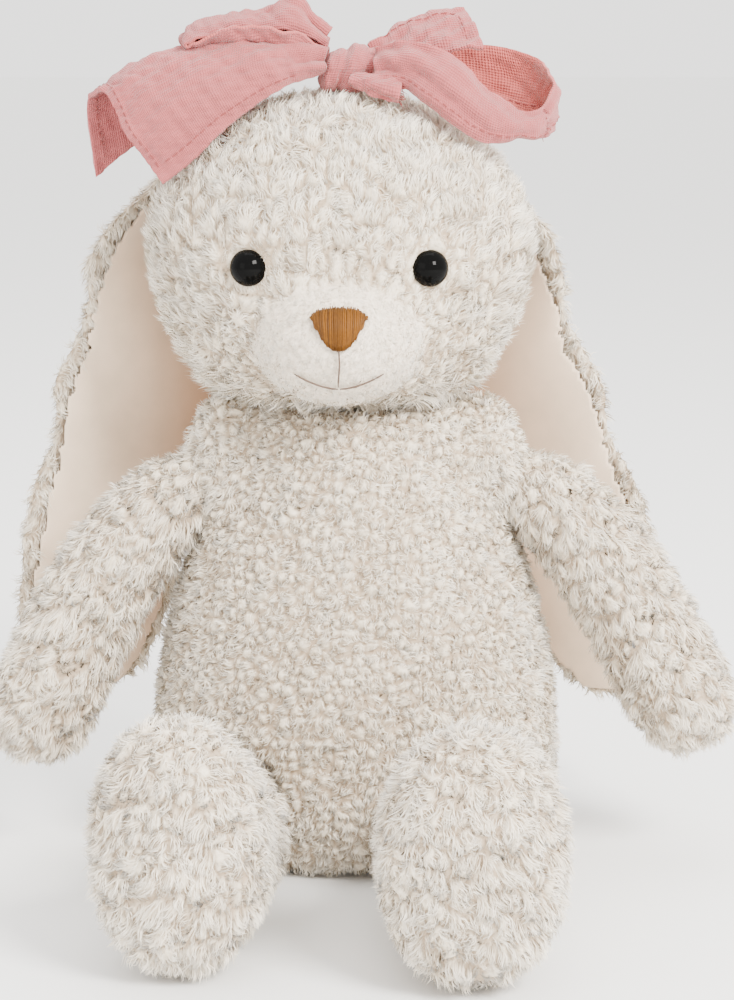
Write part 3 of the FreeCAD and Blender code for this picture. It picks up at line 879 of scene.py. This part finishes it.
# ---- bow -----------------------------------------------------------------------------
ROSE = np.array((0.41, 0.094, 0.094))
# painted shade and bounced light: a loop's inside, the same gauze as ROSE
INSIDE_SHADE_CORAL = np.array((0.46, 0.090, 0.075))
KNOT_LOW, KNOT_HIGH = (np.array(corner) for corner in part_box("bow_knot"))
KNOT = (KNOT_LOW + KNOT_HIGH) / 2
NEAR_KNOT = 5.0              # how fast the gathers die out along a ribbon


def curve_through(points, count):
    """Smooth curve through a few points, evenly read count times (Catmull-Rom)."""
    p = np.asarray(points, float)
    p = np.concatenate([[2 * p[0] - p[1]], p, [2 * p[-1] - p[-2]]])
    t = np.linspace(0, len(p) - 3 - 1e-9, count)
    i = t.astype(int)
    f = (t - i)[:, None]
    a, b, c, d = p[i], p[i + 1], p[i + 2], p[i + 3]
    return 0.5 * (2 * b + (c - a) * f + (2 * a - 5 * b + 4 * c - d) * f ** 2
                  + (3 * b - a - 3 * c + d) * f ** 3)


def spread(curves, nu, nv):
    """Grid of points through curves that run side by side, smooth along and across."""
    rows = np.array([curve_through(c, nu) for c in curves])
    return np.array([curve_through(rows[:, i], nv) for i in range(nu)])


def sample(grid, u, v):
    """The grid read between its points, at fractions u along and v across."""
    i, j = u * (grid.shape[0] - 1), v * (grid.shape[1] - 1)
    a = np.minimum(i.astype(int), grid.shape[0] - 2)
    b = np.minimum(j.astype(int), grid.shape[1] - 2)
    i, j = (i - a)[:, None], (j - b)[:, None]
    low = grid[a, b] * (1 - i) + grid[a + 1, b] * i
    high = grid[a, b + 1] * (1 - i) + grid[a + 1, b + 1] * i
    return low * (1 - j) + high * j


def crinkled(grid, salt, gathers, folds, both):
    """The grid with gathers fanning out of the knot and the fine crinkle of washed gauze."""
    nu, nv = grid.shape[:2]
    u, v = np.linspace(0, 1, nu)[:, None], np.linspace(0, 1, nv)[None, :]
    normal = unit(np.cross(np.gradient(grid, axis=0), np.gradient(grid, axis=1)))
    near = np.exp(-u * NEAR_KNOT) + (np.exp(-(1 - u) * NEAR_KNOT) if both else 0)
    flat = grid.reshape(-1, 3)
    broad = waves(flat, 0.022, salt)[:, 0].reshape(nu, nv)
    across = waves(flat * (1.0, 1.0, 1.6), 0.0085, salt + 3)[:, 1].reshape(nu, nv)
    fine = waves(flat, 0.0042, salt + 9)[:, 2].reshape(nu, nv)
    rise = gathers * MM * near * np.sin(TURN * folds * v + salt + 1.3 * u)
    rise = rise + (1.35 * broad * (0.6 + near) + 0.90 * across + 0.32 * fine) * MM
    return grid + normal * rise[..., None], normal


def sewn(grid, normal, flat, hems):
    """Stitches of the hems: short threads with gaps, on both faces of the cloth."""
    last, step = 1 - HEM / flat[1], HEM / flat[0]
    rows = {"end": (np.full(300, last), np.linspace(step, 1 - step, 300)),
            "low": (np.linspace(0.16, last, 500), np.full(500, step)),
            "high": (np.linspace(0.16, last, 500), np.full(500, 1 - step))}
    threads = []
    for kind in hems:
        points, out = sample(grid, *rows[kind]), sample(normal, *rows[kind])
        run = np.concatenate([[0], np.cumsum(np.linalg.norm(np.diff(points, axis=0), axis=1))])
        for start in np.arange(0, run[-1] - STITCH, STITCH + STITCH_GAP):
            on = (run >= start) & (run <= start + STITCH)
            if on.sum() > 2:
                threads += [points[on] + out[on] * GAUZE * face for face in (1.15, -1.15)]
    return threads


def hem_group(obj, u, v, flat, hems):
    """Vertex group that makes the turned hems twice as thick."""
    from_edge = {"end": (1 - u) * flat[1], "low": v * flat[0], "high": (1 - v) * flat[0]}
    turned = np.zeros(len(u), bool)
    for kind in hems:
        turned |= from_edge[kind] < HEM + 0.6 * MM
    group = obj.vertex_groups.new(name="thick")
    group.add(np.flatnonzero(turned).tolist(), 1.0, "REPLACE")
    group.add(np.flatnonzero(~turned).tolist(), 0.6, "REPLACE")


def cloth_grid(name, grid, quads, uv):
    """Mesh of a grid of points, with each point's place on the flat cloth for the weave."""
    obj = mesh_object(name, grid.reshape(-1, 3), quads, MAT["gauze"])
    layer = obj.data.uv_layers.new(name="cloth")
    layer.data.foreach_set("uv", uv[quads.ravel()].astype(np.float32).ravel())
    return obj


def ribbon(name, curves, flat, salt, node=None, gathers=1.6, folds=3.0, both=False, hems=(),
           inner=0, nv=44):
    """A band of gauze through curves in millimetres from the knot's middle; inner picks its darker face,
    painted coral as painted shade and bounced light inside the loop.
    """
    nu = RIBBON_STEPS
    curves = [KNOT + np.array(c) * MM for c in curves]
    grid, normal = crinkled(spread(curves, nu, nv), salt, gathers, folds, both)
    index = np.arange(nu * nv).reshape(nu, nv)
    quads = np.stack([index[:-1, :-1], index[1:, :-1], index[1:, 1:], index[:-1, 1:]], -1).reshape(-1, 4)
    u, v = (a.ravel() for a in np.meshgrid(np.linspace(0, 1, nu), np.linspace(0, 1, nv), indexing="ij"))
    obj = cloth_grid(name, grid, quads, np.stack([u * flat[1], v * flat[0]], 1))
    hem_group(obj, u, v, flat, hems)
    mod = obj.modifiers.new("gauze", "SOLIDIFY")
    mod.thickness, mod.offset, mod.vertex_group = GAUZE * 2, 0.0, "thick"
    obj = applied(obj)
    co = arrays(obj.data)[0]
    face = np.arange(len(co)) // (nu * nv)
    rim = np.minimum(np.minimum(v, 1 - v) * flat[0], (1 - u) * flat[1])
    # lighter within about a millimetre of the cloth's edges
    rim_lift = 1 + 0.16 * np.exp(-np.tile(rim, 2) / (0.7 * MM))
    shade = (1 + 0.06 * waves(co, 0.03, salt + 7)[:, 0]) * rim_lift
    # painted shade: one face of a loop is painted coral for the shade and bounced light inside it
    base = np.where((face == 1)[:, None] if inner > 0 else (face == 0)[:, None] * (inner < 0), INSIDE_SHADE_CORAL, ROSE)
    paint(obj.data, np.clip(base * shade[:, None], 0, 1))
    if node:
        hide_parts(node)
    threads = sewn(grid, normal, flat, hems)
    return [obj] + ([stitch_object(name + "_stitches", threads)] if threads else [])


def stitch_object(name, threads, radius=THREAD):
    obj = thread_tubes(name, threads, radius, MAT["bow_thread"])
    return obj


def frayed(name, grid_end, out, salt, count=26):
    """Loose thread ends along a raw edge."""
    rng = np.random.default_rng(salt)
    ends = curve_through(grid_end, count)
    threads = []
    for p in ends:
        way = unit(np.array(out) + rng.normal(0, 0.45, 3)) * rng.uniform(1.0, 2.6) * MM
        sag = np.array((0, 0, -0.5 * MM))
        threads.append([p - way * 0.3, p + way * 0.5, p + way + sag * rng.uniform(0, 1)])
    return stitch_object(name, threads, FRAY_THREAD)


WRAP_CLOTH = (0.055, 0.018)  # the strip round the knot, laid flat


def knot_wrap():
    """The strip pulled round itself: a short fat leaning roll with creases along it."""
    half = (KNOT_HIGH - KNOT_LOW) / 2
    nu, nv = 96, 64
    a = TURN * np.arange(nu)[:, None] / nu
    t = np.linspace(-1, 1, nv)[None, :]
    round_off = np.sqrt(np.maximum(0.0, 1 - 0.86 * t ** 4)) * (1 - 0.10 * t * t)
    crease = 1 + 0.085 * np.sin(6.5 * t + 1.1 * np.sin(a) + 0.6) + 0.035 * np.sin(15 * t + 2.2 * a)
    crease = crease - 0.10 * np.exp(-((t + 0.25 + 0.12 * np.sin(a)) / 0.10) ** 2)
    x = half[0] * (0.90 * t + 0.30 * np.sin(a) * (1 - 0.5 * t * t))
    y = -half[1] * round_off * crease * np.cos(a)
    z = half[2] * round_off * crease * np.sin(a) * 1.04
    grid = KNOT + np.stack([x, y, z], -1) + 0.25 * MM * waves(
        np.stack([x, y, z], -1).reshape(-1, 3), 0.006, 5).reshape(nu, nv, 3)
    index = np.arange(nu * nv).reshape(nu, nv)
    nxt = np.roll(index, -1, 0)
    quads = np.stack([index[:, :-1], index[:, 1:], nxt[:, 1:], nxt[:, :-1]], -1).reshape(-1, 4)
    ij = np.stack(np.meshgrid(np.arange(nu), np.arange(nv), indexing="ij"), -1).reshape(-1, 2)
    obj = cloth_grid("bow_knot_wrap", grid, quads, ij * np.array(WRAP_CLOTH) / (nu, nv))
    mod = obj.modifiers.new("gauze", "SOLIDIFY")
    mod.thickness, mod.offset = GAUZE, -1.0
    obj = applied(obj)
    co = arrays(obj.data)[0]
    paint(obj.data, np.clip(ROSE * (1 + 0.05 * waves(co, 0.02, 3)[:, :1]), 0, 1))
    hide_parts("bow_knot")
    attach(obj, "head")


def left_bow():
    """The bunny's left: a loop seen from inside, an upper end and a raw short end."""
    top = [(10, 8, 7), (30, 13, 8), (46, 13, 8), (57, 10, 6), (66, 4, 2), (68, -3, -3), (64, -9, -12),
           (56, -12, -14), (47, -14, -7), (39, -16, 1), (31, -16, 6.5), (19, -11, 9), (9, -6, 7)]
    middle = [(10, 8, 3), (31, 14, 0), (47, 14, -3), (60, 10, -6), (68, 3, -8), (69, -4, -12),
              (65, -11, -18), (57, -17, -19), (46, -20, -15), (35, -21, -7), (26, -19, -1), (17, -14, 2),
              (9, -9, 1)]
    bottom = [(10, 8, -1), (30, 12, -7), (46, 12, -12), (58, 9, -16), (66, 2, -17), (67, -5, -20),
              (64, -10, -22), (56, -15, -22), (45, -17, -23.5), (34, -19, -17), (26, -18, -11),
              (18, -14, -5.5), (9, -10, -4)]
    pieces = ribbon("bow_loop_left_band", [bottom, middle, top], (0.021, 0.150), 2, "bow_loop_left",
                    1.1, 2.0, both=True, hems=("low",), inner=-1)
    low = [(7, -3, 2), (18, -5, 4.5), (32, -7, 6), (44.5, -8, 7)]
    mid = [(7, 1, 5.5), (18, 1, 11), (30, 1, 14), (42, 0, 14)]
    high = [(7, 5, 8), (17, 8, 15), (27, 10, 19), (38.5, 10, 20)]
    pieces += ribbon("bow_end_left_band", [low, mid, high], (0.022, 0.038), 4, "bow_tail_left",
                     1.3, 2.0, hems=("end", "high"))
    short = [[(0, -10.5, -5), (8, -13, -8), (16.5, -14, -10.5)],
             [(0, -12, -2), (8, -15.5, -4.5), (17, -16, -7)],
             [(1, -10, 0), (9, -12.5, -1.5), (17.5, -13, -4)]]
    pieces += ribbon("bow_end_short_band", short, (0.0105, 0.019), 6, "bow_short_end", 0.7, 1.5)
    edge = [KNOT + np.array(c[-1]) * MM for c in short]
    pieces.append(frayed("bow_end_short_fray", edge, (1, -0.2, -0.4), 21))
    edge = [KNOT + np.array(p) * MM for p in (bottom[6], middle[6], top[6])]
    return pieces + [frayed("bow_loop_left_fray", edge, (0.8, -0.5, -0.2), 22, 18)]


def right_bow():
    """The bunny's right: a puffed loop with its mouth in front, over a broad rolled end."""
    front = [(-8, -8, 5), (-20, -13, 12.5), (-37, -14, 13.5), (-53, -9, 8), (-46, -10.5, 10.8),
             (-31, -9.5, 12.6), (-18, -8.5, 12), (-8, -5, 8)]
    middle = [(-8, 0, 3), (-20, -1, 5), (-38, -1, 6), (-55, 1, 9.5), (-48, -1, 16), (-33, -2, 18.5),
              (-18, -3, 22.5), (-7, -2, 12)]
    back = [(-8, 7, 2), (-20, 12, 3), (-38, 13, 3), (-54, 12, 6), (-46, 13, 8), (-30, 13, 10),
            (-18, 11, 13), (-7, 7, 8)]
    pieces = ribbon("bow_loop_right_band", [front, middle, back], (0.027, 0.128), 11, "bow_loop_right",
                    1.5, 2.5, both=True, inner=1)
    rows = [[(-8, -9, -1), (-22, -15, -6), (-38, -18, -17), (-51, -20, -29), (-61, -19, -37)],
            [(-8, -9, 3), (-26, -15, 3), (-45, -17, -4), (-61, -17, -14), (-72, -14, -22)],
            [(-7, -5, 7), (-24, -6, 11), (-46, -7, 9), (-68, -7, 1), (-81, -6, -7.5)],
            [(-7, 1, 7), (-24, 3, 10), (-48, 5, 7), (-72, 5, -1), (-88, 4, -11)],
            [(-7, 6, 2), (-24, 12, -1), (-47, 13, -12), (-69, 10, -23), (-85.5, 6, -36)]]
    return pieces + ribbon("bow_end_right_band", rows, (0.066, 0.092), 14, "bow_tail_right",
                           1.5, 4.0, hems=("end", "low"), nv=90)


def make_bow():
    knot_wrap()
    for side, pieces in (("left", left_bow()), ("right", right_bow())):
        for piece in pieces:
            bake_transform(piece)


# ---- hidden pieces, stage, camera ----------------------------------------------------
def make_hidden():
    finish = {"neck_thread": "seam", "eye_washers": "washer", "bean_pouch": "pouch",
              "bean_pellets": "bean"}
    for node, material in finish.items():
        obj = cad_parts[node]
        obj.data.materials.clear()
        obj.data.materials.append(MAT[material])


FLOOR_REACH = 20.0
FLOOR_Z = -0.2 * MM          # just under the seat, so that the two never share a plane
SKY_COLOUR, SKY_STRENGTH = (1.0, 0.985, 0.965, 1), 2.3
AIM = (0, 0, 0.12)           # what the lights point at
LIGHTS = [("key", (0.75, -1.05, 1.05), 0.5, 58, (1.0, 0.975, 0.93)),     # place, size, watts, colour
          ("fill", (-1.1, -1.2, 0.6), 0.9, 5, (1.0, 0.985, 0.96)),
          ("top", (0.0, 0.3, 1.7), 1.2, 16, (1.0, 1.0, 1.0))]


def placed(name, data, at, target):
    """An object with this data, at one place and looking at another."""
    obj = bpy.data.objects.new(name, data)
    obj.location = at
    obj.rotation_euler = (Vector(target) - Vector(at)).to_track_quat("-Z", "Y").to_euler()
    bpy.context.scene.collection.objects.link(obj)
    return obj


def make_stage():
    n = Nodes("floor", 0.9)
    n.set("Base Color", (0.95, 0.95, 0.94, 1))
    corners = np.array([(-1, -1), (1, -1), (1, 1), (-1, 1)]) * FLOOR_REACH
    floor = mesh_object("floor", np.c_[corners, np.full(4, FLOOR_Z)], np.array([[0, 1, 2, 3]]), n.mat)
    world = bpy.data.worlds.new("studio")
    world.use_nodes = True
    sky = world.node_tree.nodes["Background"]
    sky.inputs["Color"].default_value = SKY_COLOUR
    sky.inputs["Strength"].default_value = SKY_STRENGTH
    bpy.context.scene.world = world
    for name, at, size, power, colour in LIGHTS:
        data = bpy.data.lights.new(name, "AREA")
        data.size, data.energy, data.color = size, power, colour
        placed(name, data, at, AIM)


CAMERA_TARGET, CAMERA_DISTANCE, CAMERA_RISE = Vector((0.004, 0, 0.122)), 0.9, math.radians(10)
CAMERA_LENS = 93.6


def make_camera():
    data = bpy.data.cameras.new("camera")
    data.lens = CAMERA_LENS
    back = Vector((0, -math.cos(CAMERA_RISE), math.sin(CAMERA_RISE))) * CAMERA_DISTANCE
    bpy.context.scene.camera = placed("camera", data, CAMERA_TARGET + back, CAMERA_TARGET)


make_camera()
make_stage()
make_hidden()
make_torso()
make_tail()
head_skin = make_head()
make_face(head_skin)
make_eyes()
make_limbs()
make_ears()
make_bow()
